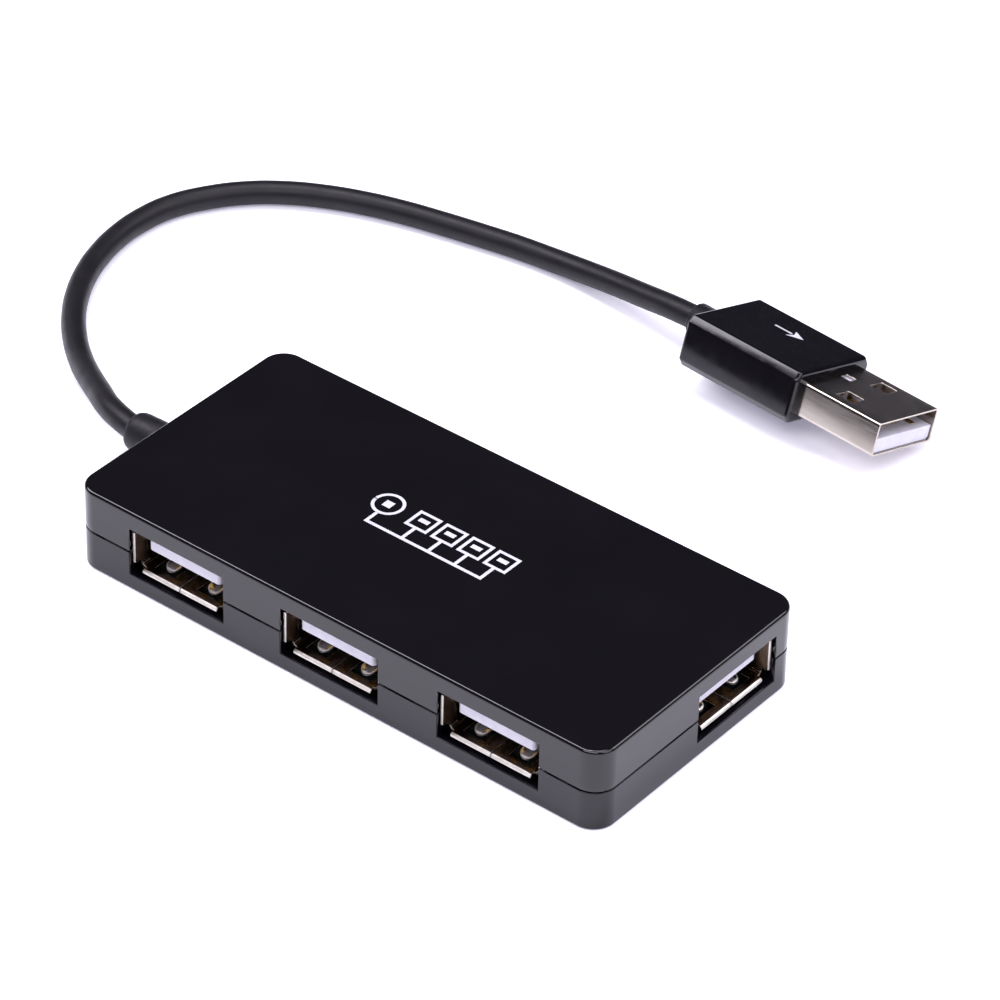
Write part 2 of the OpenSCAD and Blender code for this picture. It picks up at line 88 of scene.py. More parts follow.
def vary(finish, socket, low, high, size, stretch=(1, 1, 1), detail=3, seed=0, span=(0.3, 0.7)):
    """Runs one socket of a finish from low to high with a soft random pattern on the object,
    whose features are about size mm. On "Normal" the pattern is raised instead: low is its
    height in mm and high its strength, on top of any relief that is there."""
    shader = finish.node_tree.nodes["Principled BSDF"]
    place = add_node(finish, "ShaderNodeTexCoord")
    scaled = add_node(finish, "ShaderNodeMapping", {
        "Scale": [1000 / size / s for s in stretch], "Location": (seed, seed * 0.7, seed * 1.3)},
        {"Vector": (place, "Object")})
    noise = add_node(finish, "ShaderNodeTexNoise", {"Scale": 1, "Detail": detail},
                     {"Vector": (scaled, "Vector")})
    if socket == "Base Color":
        output = "Color"
        last = add_node(finish, "ShaderNodeValToRGB", None, {"Fac": (noise, "Fac")})
        for stop, position, code in zip(last.color_ramp.elements, span, (low, high)):
            stop.position, stop.color = position, srgb(code)
    elif socket == "Normal":
        output = "Normal"
        links = {"Height": (noise, "Fac")}
        for link in shader.inputs["Normal"].links:
            links["Normal"] = (link.from_node, "Normal")
        last = add_node(finish, "ShaderNodeBump", {"Strength": high, "Distance": low / 1000},
                        links)
    else:
        output = "Result"
        last = add_node(finish, "ShaderNodeMapRange", {
            "From Min": span[0], "From Max": span[1], "To Min": low, "To Max": high},
            {"Value": (noise, "Fac")})
    finish.node_tree.links.new(last.outputs[output], shader.inputs[socket])


# The table is opal acrylic, matt white and lit faintly from below, so that it is white all over.
acrylic = finish_of("matt_opal_acrylic", "#f4f4f6", 0.9, Emission_Color=srgb("#e7e3ff"),
                    Emission_Strength=0.324)
vary(acrylic, "Roughness", 0.82, 0.95, 2.5)
vary(acrylic, "Normal", 0.01, 0.3, 0.6)
table_half, table_z = 3, -2e-5
table_mesh = bpy.data.meshes.new("table")
table_mesh.from_pydata([(x * table_half, y * table_half, table_z)
                        for x, y in ((-1, -1), (1, -1), (1, 1), (-1, 1))], [], [(0, 1, 2, 3)])
table_mesh.materials.append(acrylic)
table = bpy.data.objects.new("table", table_mesh)
bpy.context.scene.collection.objects.link(table)

# Five soft boxes stand in a ring overhead, with a dark ceiling between them, so that the flat
# top stays black while every rounded edge picks up a light.
for name, place, wide, deep, watts in (
        ("left_softbox", (-0.53, -0.05, 0.85), 0.32, 1.0, 10),
        ("top_softbox", (-0.085, 0.21, 0.85), 0.3, 0.3, 1.8),
        ("right_softbox", (0.66, 0.0, 0.85), 0.6, 1.2, 6),
        ("front_softbox", (0.15, -0.62, 0.85), 0.9, 0.4, 6),
        ("back_softbox", (0.5, 0.66, 0.85), 0.7, 0.5, 5)):
    light_data = bpy.data.lights.new(name, "AREA")
    light_data.shape = "RECTANGLE"
    light_data.size, light_data.size_y = wide, deep
    light_data.energy = watts
    light_data.color = (0.97, 0.94, 1.03)
    light = bpy.data.objects.new(name, light_data)
    bpy.context.scene.collection.objects.link(light)
    light.location = place
    aim = Vector((0, 0.02, 0)) - Vector(place)
    light.rotation_mode = "QUATERNION"
    light.rotation_quaternion = aim.to_track_quat("-Z", "Y")
room = bpy.data.worlds.new("dim_room")
bpy.context.scene.world = room
room.use_nodes = True
room.node_tree.nodes["Background"].inputs["Color"].default_value = (0.045, 0.043, 0.056, 1)
bpy.context.scene.view_settings.view_transform = "Standard"

# ---------- lead ----------
# A round lead of four fine wires in a soft PVC jacket, extruded, with a satin skin and faint
# lengthwise scuffs. It leaves the strain relief and is moulded into the plug's collar.
lead_d = 3.2
route = [
    (-0.047, 0, 0.00545), (-0.0499, 0.0007, 0.0054), (-0.0528, 0.00185, 0.00505),
    (-0.05692, 0.00441, 0.0041), (-0.06111, 0.00715, 0.003), (-0.06514, 0.01001, 0.0021),
    (-0.06909, 0.01319, 0.0017), (-0.07294, 0.01706, 0.00165), (-0.07576, 0.02078, 0.00165),
    (-0.07813, 0.02495, 0.00165), (-0.07992, 0.02953, 0.00165), (-0.08102, 0.03429, 0.00165),
    (-0.08125, 0.03913, 0.00165), (-0.08042, 0.04414, 0.00165), (-0.07812, 0.04889, 0.00165),
    (-0.07504, 0.05295, 0.00165), (-0.07127, 0.05623, 0.00165), (-0.06689, 0.05889, 0.00165),
    (-0.06192, 0.06108, 0.00165), (-0.0565, 0.0628, 0.00165), (-0.0509, 0.0641, 0.00165),
    (-0.04545, 0.06519, 0.00165), (-0.04, 0.06616, 0.00165), (-0.0345, 0.0667, 0.00175),
    (-0.029, 0.0666, 0.0023), (-0.0235, 0.06601, 0.00315), (-0.018, 0.06507, 0.00415),
    (-0.0135, 0.06435, 0.00495), (-0.0094, 0.06397, 0.00528)
]
# Extruded PVC: a soft broad shine along the top, broken up by fine grain and faint dents.
jacket = finish_of("satin_black_pvc", "#100f13", 0.46, ior=1.42, Specular_IOR_Level=0.38)
vary(jacket, "Base Color", "#0e0d11", "#131216", 3)
vary(jacket, "Roughness", 0.42, 0.52, 1.6, seed=3)
vary(jacket, "Normal", 0.006, 0.5, 0.12)
vary(jacket, "Normal", 0.02, 0.4, 2.2, seed=5)
lead_curve = bpy.data.curves.new("lead_jacket", "CURVE")
lead_curve.dimensions = "3D"
lead_curve.bevel_depth = lead_d / 2000
lead_curve.bevel_resolution = 8
lead_curve.resolution_u = 8
lead_curve.use_fill_caps = True
line = lead_curve.splines.new("BEZIER")
line.bezier_points.add(len(route) - 1)
for point, place in zip(line.bezier_points, route):
    point.co = place
    point.handle_left_type = point.handle_right_type = "AUTO"
lead_curve.materials.append(jacket)
lead = bpy.data.objects.new("lead_jacket", lead_curve)
bpy.context.scene.collection.objects.link(lead)
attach(lead, "hub")
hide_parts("lead")

# ---------- strain relief ----------
# A short sleeve of soft black PVC moulded over the lead. Its neck and flange are trapped between
# the two halves of the case.

# Spark-eroded PVC: charcoal rather than black, because its fine grain spreads the light.
matt_pvc = finish_of("matt_black_pvc_moulding", "#151419", 0.5, ior=1.44,
                     Specular_IOR_Level=0.3)
vary(matt_pvc, "Base Color", "#131217", "#19181d", 1.5)
vary(matt_pvc, "Roughness", 0.42, 0.56, 0.8, seed=2)
vary(matt_pvc, "Normal", 0.012, 0.7, 0.15)


def loft(rings):
    """Points and faces of a body through closed rings of points, closed at both ends."""
    count = len(rings[0])
    faces = [(r * count + i, r * count + (i + 1) % count,
              (r + 1) * count + (i + 1) % count, (r + 1) * count + i)
             for r in range(len(rings) - 1) for i in range(count)]
    faces += [tuple(range(count)), tuple(range((len(rings) - 1) * count, len(rings) * count))]
    return [p for ring in rings for p in ring], faces


def new_piece(name, points, faces, material, slot):
    """Makes a mesh piece from points in mm, in the shared frame, and fixes it to the hub."""
    mesh = bpy.data.meshes.new(name)
    mesh.from_pydata([Vector(p) / 1000 for p in points], [], faces)
    shape = bmesh.new()
    shape.from_mesh(mesh)
    bmesh.ops.remove_doubles(shape, verts=shape.verts, dist=1e-7)
    bmesh.ops.delete(shape, geom=[v for v in shape.verts if not v.link_faces], context="VERTS")
    bmesh.ops.recalc_face_normals(shape, faces=shape.faces)
    shape.to_mesh(mesh)
    shape.free()
    mesh.materials.append(material)
    mesh.shade_smooth()
    made = bpy.data.objects.new(name, mesh)
    bpy.context.scene.collection.objects.link(made)
    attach(made, "hub")
    return made


# The sleeve's profile, from inside the case to its mouth: (x, radius).
lead_z, round_steps = 5.45, 24
sleeve = [(-36.5, 1.6), (-36.5, 2.9), (-36.7, 3.1), (-37.7, 3.1), (-37.9, 2.9), (-37.9, 2.2),
          (-39.5, 2.2), (-39.5, 2.5), (-39.6, 2.6), (-41.5, 2.62), (-44, 2.6), (-45.8, 2.55),
          (-46.3, 2.48), (-46.65, 2.35), (-46.87, 2.15), (-46.97, 1.95), (-47, 1.8),
          (-46.97, 1.68), (-46.8, 1.61)]
turns = [k * math.pi / round_steps for k in range(2 * round_steps)]
rings = [[(x, r * math.cos(t), lead_z + r * math.sin(t)) for t in turns] for x, r in sleeve]
strain_relief = new_piece("strain_relief_sleeve", *loft(rings), matt_pvc, "relief_black")
lathe_sharp = math.radians(50)
strain_relief.data.set_sharp_from_angle(angle=lathe_sharp)
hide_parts("strain_relief")

# ---------- plug ----------
# A gloss black PVC grip is moulded over the crimped lead and the rear of the folded nickel
# shell. The shell holds a white nylon block with four gold-plated contacts.
plug_frame = (Matrix.Translation((-9.4, 63.97, 5.28)) @ Matrix.Rotation(math.radians(-5), 4, "Z")
              @ Matrix.Rotation(math.radians(-16.5), 4, "X"))


def on_plug(rings):
    """Moves rings of points from the plug's own frame to the shared frame, in mm."""
    return [[plug_frame @ Vector(p) for p in ring] for ring in rings]


# PVC from a polished mould: near black, with sharp reflections that waver a little.
gloss_pvc = finish_of("gloss_black_moulded_pvc", "#0c0b0f", 0.07, ior=1.45)
vary(gloss_pvc, "Base Color", "#0a090d", "#0e0d11", 4)
vary(gloss_pvc, "Roughness", 0.05, 0.1, 1.8)
vary(gloss_pvc, "Normal", 0.006, 0.2, 5, seed=4)
# The grip's section is a rectangle with four chamfers; its two ends are rounded over.
grip_rear, grip_front = 4.0, 22.2
half_w, half_h, cut_w, cut_h = 7.4, 3.5, 0.8, 1.0
outline = [(half_w, half_h - cut_h), (half_w - cut_w, half_h), (cut_w - half_w, half_h),
           (-half_w, half_h - cut_h), (-half_w, cut_h - half_h), (cut_w - half_w, -half_h),
           (half_w - cut_w, -half_h), (half_w, cut_h - half_h)]
rings = [[(x, *p) for p in outline] for x in (grip_rear, grip_front)]
grip = new_piece("plug_grip_moulding", *loft(on_plug(rings)), gloss_pvc, "grip_black")


def round_edges(piece, width, steps=3, angle=30, share=None):
    """Rounds a piece's sharp edges by width mm, or by a share of it that depends on the edge."""
    bevel = piece.modifiers.new("rounded_edges", "BEVEL")
    bevel.width = width / 1000
    bevel.segments = steps
    bevel.limit_method = "WEIGHT" if share else "ANGLE"
    bevel.angle_limit = math.radians(angle)
    bevel.miter_outer = "MITER_ARC"
    if share:
        shape = bmesh.new()
        shape.from_mesh(piece.data)
        weight = shape.edges.layers.float.new("bevel_weight_edge")
        for edge in shape.edges:
            if len(edge.link_faces) == 2 and edge.calc_face_angle(0) > math.radians(angle):
                edge[weight] = share(edge.verts[0].co * 1000, edge.verts[1].co * 1000)
        shape.to_mesh(piece.data)
        shape.free()
        bevel.use_clamp_overlap = False
    # The large flats stay flat in the light, and only the rounded edges turn.
    even = piece.modifiers.new("even_flats", "WEIGHTED_NORMAL")
    even.weight = 100
    even.keep_sharp = True


def grip_share(a, b):
    """Full rounding at the grip's front end, less at its rear, and little along it."""
    along = [(plug_frame.inverted() @ p).x for p in (a, b)]
    if min(along) > grip_front - 0.01:
        return 1
    return 0.7 if max(along) < grip_rear + 0.01 else 0.3


round_edges(grip, 0.6, 4, 20, grip_share)
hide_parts("plug_grip")
# The collar's profile, from the lead to inside the grip: (x, radius).
collar = [(0, 1.62), (0, 1.9), (0.1, 2.08), (0.3, 2.2), (3.4, 2.2), (3.7, 2.3), (4.0, 2.6),
          (4.05, 2.7)]
rings = [[(x, r * math.cos(t), r * math.sin(t)) for t in turns] for x, r in collar]
collar_piece = new_piece("plug_collar", *loft(on_plug(rings)), matt_pvc, "grip_black")
collar_piece.data.set_sharp_from_angle(angle=lathe_sharp)

# Nickel-plated sheet steel, rolled and then stamped: bright, faintly warm, with rolling lines
# along the strip and slightly uneven plating. The lines are drawn coarser than real ones, to show.
nickel = finish_of("nickel_plated_sheet_steel", "#bbb4ab", 0.18, metallic=1)
vary(nickel, "Base Color", "#b6aea4", "#c0bab1", 2.5, (3, 1, 1))
vary(nickel, "Roughness", 0.15, 0.21, 0.35, (14, 1, 1), seed=3)
vary(nickel, "Normal", 0.0002, 0.3, 0.05, (30, 1, 1))


def sheet_grid(inner, outer, there, closed):
    """Points and faces of a bent sheet with openings. inner[i][j] and outer[i][j] are points on
    its two faces, and there(i, j) says whether the cell from i, j to i + 1, j + 1 is metal."""
    columns, rows = len(inner), len(inner[0])
    points = [p for face in (inner, outer) for column in face for p in column]
    cells = {(i, j) for i in range(columns if closed else columns - 1)
             for j in range(rows - 1) if there(i, j)}

    def at(face, i, j):
        """The number of a point on one of the two faces."""
        return face * columns * rows + (i % columns) * rows + j

    faces = []
    for i, j in sorted(cells):
        corners = [(i, j), (i + 1, j), (i + 1, j + 1), (i, j + 1)]
        beside = [(i, j - 1), (i + 1, j), (i, j + 1), (i - 1, j)]
        faces.append([at(1, *c) for c in corners])
        faces.append([at(0, *c) for c in reversed(corners)])
        for k in range(4):
            near = beside[k]
            near = (near[0] % columns, near[1]) if closed else near
            if near not in cells:
                a, b = corners[k], corners[(k + 1) % 4]
                faces.append([at(1, *b), at(1, *a), at(0, *a), at(0, *b)])
    return points, faces


# The plug's shell: a folded strip, 12.1 by 4.6 mm outside, with a seam underneath, two latch
# holes in its roof and two in its floor, and one small hole that shows the block's rear.
sheet, seam_half = 0.3, 0.03
plug_half_w, plug_half_h, plug_bend = 6.05, 2.3, 0.5
shell_rear, shell_tip = 18.2, 34.6
latch_near, latch_far, latch_half_l = 2.25, 4.55, 1.3
spot_near, spot_far, spot_l = 0.6, 1.8, 1.5
latch_x, spot_x = shell_tip - 6.9, shell_tip - 11.6
spot_row, latch_row = 1, 3
rows = [shell_rear, spot_x, spot_x + spot_l, latch_x - latch_half_l, latch_x + latch_half_l,
        shell_tip]
# The section, once round from the seam: ((y, z), (outward y, outward z)).
columns = [((y, -plug_half_h), (0, -1)) for y in (seam_half, latch_near, latch_far)]
for y_side, z_side, start in ((1, -1, -90), (1, 1, 0), (-1, 1, 90), (-1, -1, 180)):
    for k in range(6):
        angle = math.radians(start + 18 * k)
        out_y, out_z = math.cos(angle), math.sin(angle)
        columns.append(((y_side * (plug_half_w - plug_bend) + plug_bend * out_y,
                         z_side * (plug_half_h - plug_bend) + plug_bend * out_z), (out_y, out_z)))
    if start == 0:
        columns += [((y, plug_half_h), (0, 1)) for y in (
            latch_far, latch_near, spot_far, spot_near, -latch_near, -latch_far)]
columns += [((y, -plug_half_h), (0, -1)) for y in (-latch_far, -latch_near, -seam_half)]


def shell_there(i, j):
    """Whether a cell of the shell is metal, and not one of its holes."""
    (y0, z0), (y1, z1) = columns[i][0], columns[i + 1][0]
    middle, flat = (y0 + y1) / 2, min(abs(z0), abs(z1)) > plug_half_h - 0.01
    if flat and j == latch_row and latch_near < abs(middle) < latch_far:
        return False
    return not (flat and j == spot_row and z0 > 0 and spot_near < middle < spot_far)


outer = on_plug([[(x, *column[0]) for x in rows] for column in columns])
inner = on_plug([[(x, y - sheet * out_y, z - sheet * out_z) for x in rows]
                 for (y, z), (out_y, out_z) in columns])
plug_shell = new_piece("plug_shell_strip", *sheet_grid(inner, outer, shell_there, False),
                       nickel, "nickel_steel")
round_edges(plug_shell, 0.09, 3)
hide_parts("plug_shell")


def dress(node, material, width=0, steps=2):
    """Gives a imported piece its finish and, if width is above 0, rounds its edges."""
    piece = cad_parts[node]
    piece.data.materials.clear()
    piece.data.materials.append(material)
    if width:
        weld = piece.modifiers.new("joined_corners", "WELD")
        weld.merge_threshold = 1e-6
        flat = piece.modifiers.new("whole_flats", "DECIMATE")
        flat.decimate_type = "DISSOLVE"
        flat.angle_limit = math.radians(0.8)
        round_edges(piece, width, steps)


# Glass-filled nylon: dense cool white with a soft sheen and faint flow marks.
nylon = finish_of("white_moulded_nylon", "#cecdd8", 0.42, ior=1.5)
vary(nylon, "Base Color", "#c9c8d4", "#d4d3dd", 1.6)
vary(nylon, "Roughness", 0.34, 0.5, 0.5, seed=2)
vary(nylon, "Normal", 0.003, 0.5, 0.15)
dress("plug_insulator", nylon, 0.08)
# A flash of gold over nickel, with a slightly uneven tone and shine.
gold = finish_of("thin_gold_plating", "#d9b463", 0.2, metallic=1)
vary(gold, "Base Color", "#c9a14e", "#e0be72", 0.5)
vary(gold, "Roughness", 0.16, 0.34, 0.15, seed=2)
dress("plug_contacts", gold, 0.04)

# The grip's mark is a plain arrow in white pad-printing ink, pointing to the tip. The ink is
# chalky and a little uneven, so it looks greyer than the plug's white block.
white_ink = finish_of("white_pad_printing_ink", "#c4c4cb", 0.5)
vary(white_ink, "Base Color", "#b8b8c0", "#cbcbd2", 0.4)
vary(white_ink, "Roughness", 0.42, 0.6, 0.12)
ink_low, ink_top = 0.001, 0.012


def flat_print(name, outlines, surface):
    """Ink shapes: each is a list of (x, y) points, laid on the surface's frame and raised."""
    points, faces = [], []
    for outline in outlines:
        start, count = len(points), len(outline)
        points += [surface @ Vector((x, y, z)) for z in (ink_low, ink_top) for x, y in outline]
        faces += [[start + k for k in range(count)], [start + count + k for k in range(count)]]
        faces += [[start + k, start + (k + 1) % count, start + count + (k + 1) % count,
                   start + count + k] for k in range(count)]
    made = new_piece(name, points, faces, white_ink, "white_nylon")
    made.data.set_sharp_from_angle(angle=math.radians(40))


def ink_block(x0, y0, x1, y1):
    """A rectangle of ink between two corners."""
    return [(x0, y0), (x1, y0), (x1, y1), (x0, y1)]


grip_top = plug_frame @ Matrix.Translation((0, 0, half_h))
arrow = [[(13.2, 0.9), (15.3, 2.0), (13.2, 3.1), (13.75, 2.0)], ink_block(10.6, 1.84, 13.4, 2.16)]
flat_print("grip_arrowhead_print", arrow, grip_top)

# ---------- circuit board ----------
# Glass-epoxy board with the hub chip, its crystal and the small parts soldered on top. Its
# black solder mask is smooth and half shiny, and rises over tracks 1.27 mm apart.
mask = finish_of("black_solder_mask", "#0d0f0e", 0.32)
tracks = add_node(mask, "ShaderNodeTexBrick", {
    "Scale": 1, "Mortar Size": 0.00016, "Brick Width": 0.0034, "Row Height": 0.00127,
    "Color1": srgb("#0b0d0c"), "Color2": srgb("#0e100f"), "Mortar": srgb("#1a201d")},
    {"Vector": (add_node(mask, "ShaderNodeTexCoord"), "Object")})
track_rise = add_node(mask, "ShaderNodeBump", {"Strength": 0.6, "Distance": 3e-5},
                      {"Height": (tracks, "Fac")})
for source, output, socket in ((tracks, "Color", "Base Color"), (track_rise, "Normal", "Normal")):
    mask.node_tree.links.new(source.outputs[output],
                             mask.node_tree.nodes["Principled BSDF"].inputs[socket])
vary(mask, "Roughness", 0.26, 0.4, 0.8)
dress("circuit_board", mask)
# Epoxy moulding compound: charcoal, fine-grained, quite matt.
mould = finish_of("charcoal_epoxy_moulding", "#26262a", 0.6)
vary(mould, "Base Color", "#212125", "#2c2c30", 0.3)
vary(mould, "Roughness", 0.5, 0.7, 0.2)
vary(mould, "Normal", 0.01, 0.6, 0.06)
dress("hub_controller", mould, 0.04)
dress("crystal", nickel, 0.12)
# Fired ceramic: tan, smooth and slightly waxy.
ceramic = finish_of("fired_tan_ceramic", "#b08a5e", 0.38)
vary(ceramic, "Base Color", "#a57f54", "#bb956a", 0.5)
vary(ceramic, "Roughness", 0.3, 0.46, 0.2)
dress("chip_capacitors", ceramic, 0.06)
dress("chip_resistors", mould, 0.04)

# ---------- lead inside the case ----------
# The stripped end of the jacket and its four conductors, soldered to the board. Their PVC covers
# are bright and waxy, with a slightly uneven skin.
dress("lead_end", jacket)
for colour, code in (("red", "#a51f1c"), ("white", "#dcdad6"), ("green", "#1f7a3c"),
                     ("black", "#1c1b1e")):
    cover = finish_of(f"{colour}_pvc_insulation", code, 0.35, ior=1.53)
    vary(cover, "Roughness", 0.28, 0.42, 0.4)
    vary(cover, "Normal", 0.01, 0.4, 0.3)
    dress(f"{colour}_wire", cover)

# ---------- ports ----------
# Four type A receptacles. Each is a folded steel shell with a white tongue in its upper half,
# spring fingers cut from its floor and roof, and lips at the mouth that guide the plug in.
case_l, case_w = 79, 37.5
port_xs, end_port_y = (-23.5, 0, 23.5), 7
port_frames = [Matrix.Translation((x, -case_w / 2, 0)) for x in port_xs]
port_frames.append(Matrix.Translation((case_l / 2, end_port_y, 0))
                   @ Matrix.Rotation(math.radians(90), 4, "Z"))
shell_floor, shell_roof, half_in, shell_bend = 3.3, 8.42, 6.25, 0.3
flap_half, flap_low, flap_high, slit = 5.8, 3.71, 8.01, 0.07
finger_at, finger_half, finger_tip, finger_bow = 3.3, 1.0, 3.5, 0.42
window_near, window_far, tails_half = 1.75, 4.85, 4.7
leg_depths, leg_half, leg_foot, leg_top = (5.2, 11), 0.8, 1.6, 3.8
# How deep the lips with painted highlight reach, and from where to where the floor's fingers get
# painted light instead of painted shade.
lip_deep, flap_deep, bright_from, bright_to = 0.7, 0.86, 2.45, 7
# How deep each row of the shell lies, and how far the side and floor lips lean out there.
depths = [0.6, 0.66, 0.74, 0.86, 1.0, 1.25, 1.6, 1.8, 2.1, 2.4, 8.6, 12.2, 13.4, 14.3]
side_lean = [0.72, 0.69, 0.66, 0.61, 0.55, 0.45, 0.28, 0.2, 0.08, 0, 0, 0, 0, 0]
floor_lean = [0.26, 0.19, 0.13, 0.07, 0.03, 0, 0, 0, 0, 0, 0, 0, 0, 0]
root_row, side_root_row, window_rows, tails_row = 5, 9, range(7, 10), 11
# Port steel: the same strip, painted darker brown inside as shade, with sheared edges and lips
# painted brighter as highlights.
port_steel_painted_shade = finish_of("nickel_strip_painted_shade", "#5e5042", 0.24, metallic=1)
vary(port_steel_painted_shade, "Base Color", "#55483b", "#68594a", 3)
vary(port_steel_painted_shade, "Roughness", 0.2, 0.28, 1.2, seed=3)
vary(port_steel_painted_shade, "Normal", 0.0004, 0.3, 0.4)
# The lips and the fingers' rims are painted brighter as highlights, and finely scratched, so they
# glow softly.
edge_highlight_nickel = finish_of("nickel_edge_painted_highlight", "#e8e3da", 0.42, metallic=1)
vary(edge_highlight_nickel, "Base Color", "#ded8ce", "#f0ece5", 0.8)
vary(edge_highlight_nickel, "Roughness", 0.38, 0.48, 0.6)
vary(edge_highlight_nickel, "Normal", 0.0005, 0.3, 0.4)

# The section, once round from the seam: (x, z, outward x, outward z, which flap it belongs to).
flap_marks = (slit, window_near, window_far, flap_half, flap_half + slit)
section = [(x, shell_floor, 0, -1, "floor" if x <= flap_half else "") for x in flap_marks]
for start, centre_z in ((-90, shell_floor + shell_bend), (0, shell_roof - shell_bend)):
    for k in range(4):
        angle = math.radians(start + 30 * k)
        nx, nz = math.cos(angle), math.sin(angle)
        section.append((half_in - shell_bend + shell_bend * nx, centre_z + shell_bend * nz,
                        nx, nz, ""))
    if start < 0:
        section += [(half_in, flap_low - slit, 1, 0, ""), (half_in, flap_low, 1, 0, "side"),
                    (half_in, flap_high, 1, 0, "side"), (half_in, flap_high + slit, 1, 0, "")]
section += [(x, shell_roof, 0, 1, "roof" if x <= flap_half else "")
            for x in reversed(flap_marks[1:])]
section += [(-x, z, -nx, nz, flap) for x, z, nx, nz, flap in reversed(section)]


def port_point(station, row, offset):
    """A point of the shell, offset outwards from its inner face and leant with its lip."""
    x, z, nx, nz, flap = station
    lean = {"side": side_lean[row], "floor": floor_lean[row]}.get(flap, 0)
    return Vector((x + nx * (lean + offset), depths[row], z + nz * (lean + offset)))


def port_metal(i, j):
    """Whether a cell of the shell is metal: flaps alone at the mouth, then walls with windows."""
    a, b = section[i], section[i + 1]
    flap = a[4] if a[4] == b[4] else ""
    if j < root_row:
        return bool(flap)
    if j < side_root_row and "side" in (a[4], b[4]) and not flap:
        return False
    middle = (a[0] + b[0]) / 2
    flat = abs(a[3]) == 1 and abs(b[3]) == 1
    if j in window_rows and flat and window_near < abs(middle) < window_far:
        return False
    return not (j == tails_row and a[3] == -1 and b[3] == -1 and abs(middle) < tails_half)


def finger_strip(x0, level, up, rise):
    """One spring finger: a tapering strip with a round tip, bowed into the opening."""
    bow = [(8.65, 0), (8.0, 0), (7.2, 0.1), (6.2, 0.28), (5.2, 0.4), (4.4, finger_bow),
           (3.8, 0.36)]
    bow += [(finger_tip - finger_half * math.sin(math.radians(80 * k / 7)),
             0.3 - 0.36 * (k / 7) ** 1.2) for k in range(8)]
    inner_face, outer_face = [], []
    for t in (-1, -0.74, 0, 0.74, 1):
        upper, lower = [], []
        for depth, height in bow:
            half = finger_half if depth >= finger_tip else math.sqrt(
                max(0.03, finger_half ** 2 - (finger_tip - depth) ** 2))
            z = level + up * height * rise / finger_bow
            upper.append(Vector((x0 + t * half, depth, z)))
            lower.append(Vector((x0 + t * half, depth, z - up * sheet)))
        inner_face.append(upper)
        outer_face.append(lower)
    return sheet_grid(inner_face, outer_face, lambda i, j: True, False)


def port_finish(p):
    """Slot of the material at a point: 0 strip darkened as painted shade, 1 edge brightened as
    painted highlight, 2 plain nickel.
    """
    if p.y < (lip_deep if shell_floor < p.z < shell_roof else flap_deep):
        return 1
    aside = abs(abs(p.x) - finger_at)
    on_floor = shell_floor - sheet + 0.02 < p.z < shell_floor + 0.7
    if not on_floor or not bright_from < p.y < bright_to or aside > finger_half + 0.05:
        return 0
    from_middle = math.hypot(aside, max(0, finger_tip - p.y))
    return 1 if from_middle > 0.72 * finger_half else 2


def slab(low, high):
    """Points and faces of a plate between two corners."""
    ring = [(low[0], low[1]), (high[0], low[1]), (high[0], high[1]), (low[0], high[1])]
    return loft([[(x, y, z) for x, y in ring] for z in (low[2], high[2])])


shell_parts = [sheet_grid([[port_point(s, j, 0) for j in range(len(depths))] for s in section],
                          [[port_point(s, j, sheet) for j in range(len(depths))]
                           for s in section], port_metal, False)]
for side in (-1, 1):
    shell_parts.append(finger_strip(side * finger_at, shell_floor, 1, finger_bow))
    shell_parts.append(finger_strip(side * finger_at, shell_roof, -1, 0.3))
    for depth in leg_depths:
        x = side * (half_in + sheet / 2)
        shell_parts.append(slab((x - sheet / 2, depth - leg_half, leg_foot),
                                (x + sheet / 2, depth + leg_half, leg_top)))
shell_parts.append(slab(
    (-half_in - sheet / 2, depths[-1] - sheet, shell_floor - sheet / 2),
    (half_in + sheet / 2, depths[-1], shell_roof + sheet / 2)))
for number, port in enumerate(port_frames, 1):
    points, faces = [], []
    for part_points, part_faces in shell_parts:
        faces += [[len(points) + k for k in face] for face in part_faces]
        points += [port @ Vector(p) for p in part_points]
    shell = new_piece(f"port_{number}_shell_strip", points, faces, port_steel_painted_shade, "nickel_steel")
    shell.data.materials.append(edge_highlight_nickel)
    shell.data.materials.append(nickel)
    # Lit and shaded copies of one strip: brightened lips and finger rims as painted highlight, the
    # darkened inside as painted shade.
    for face in shell.data.polygons:
        face.material_index = port_finish(port.inverted() @ (face.center * 1000))
    round_edges(shell, 0.09, 3, 35)
    # The rounded edges take the brightened finish too: painted highlight.
    shell.modifiers["rounded_edges"].material = 1
    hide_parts(f"port_{number}_shell")
    dress(f"port_{number}_insulator", nylon, 0.15, 3)
    dress(f"port_{number}_springs", gold, 0.03)
    dress(f"port_{number}_tails", gold, 0.03)

# ---------- case ----------
# Two ABS mouldings that snap together, with a fine shadow gap where they meet. The walls round
# the ports are 1.5 mm thick. The upper half has a mirror polish, with a few fine scuffs.
abs_black = finish_of("polished_black_abs", "#0d0c0f", 0.06, ior=1.5)
vary(abs_black, "Base Color", "#0c0b0e", "#0f0e11", 12)
vary(abs_black, "Roughness", 0.045, 0.1, 0.25, (30, 1, 3), detail=2, seed=9, span=(0.55, 0.8))
vary(abs_black, "Normal", 0.012, 0.2, 8, seed=4)
case_h, corner_r, cut_half, hole_r = 11.3, 3, 7.35, 2.3
cut_edges = [x + side * cut_half for x in port_xs for side in (-1, 1)]
hole_marks = [hole_r * math.sin(math.radians(a)) for a in range(-90, 91, 15)]
# The outline, once round from the first port: (x, y, outward x, outward y, what is cut there).
stations = []


def corner(cx, cy, start):
    """Adds a quarter turn round one corner of the case."""
    for k in range(17):
        angle = math.radians(start + 90 * k / 16)
        nx, ny = math.cos(angle), math.sin(angle)
        stations.append((cx + corner_r * nx, cy + corner_r * ny, nx, ny, ""))


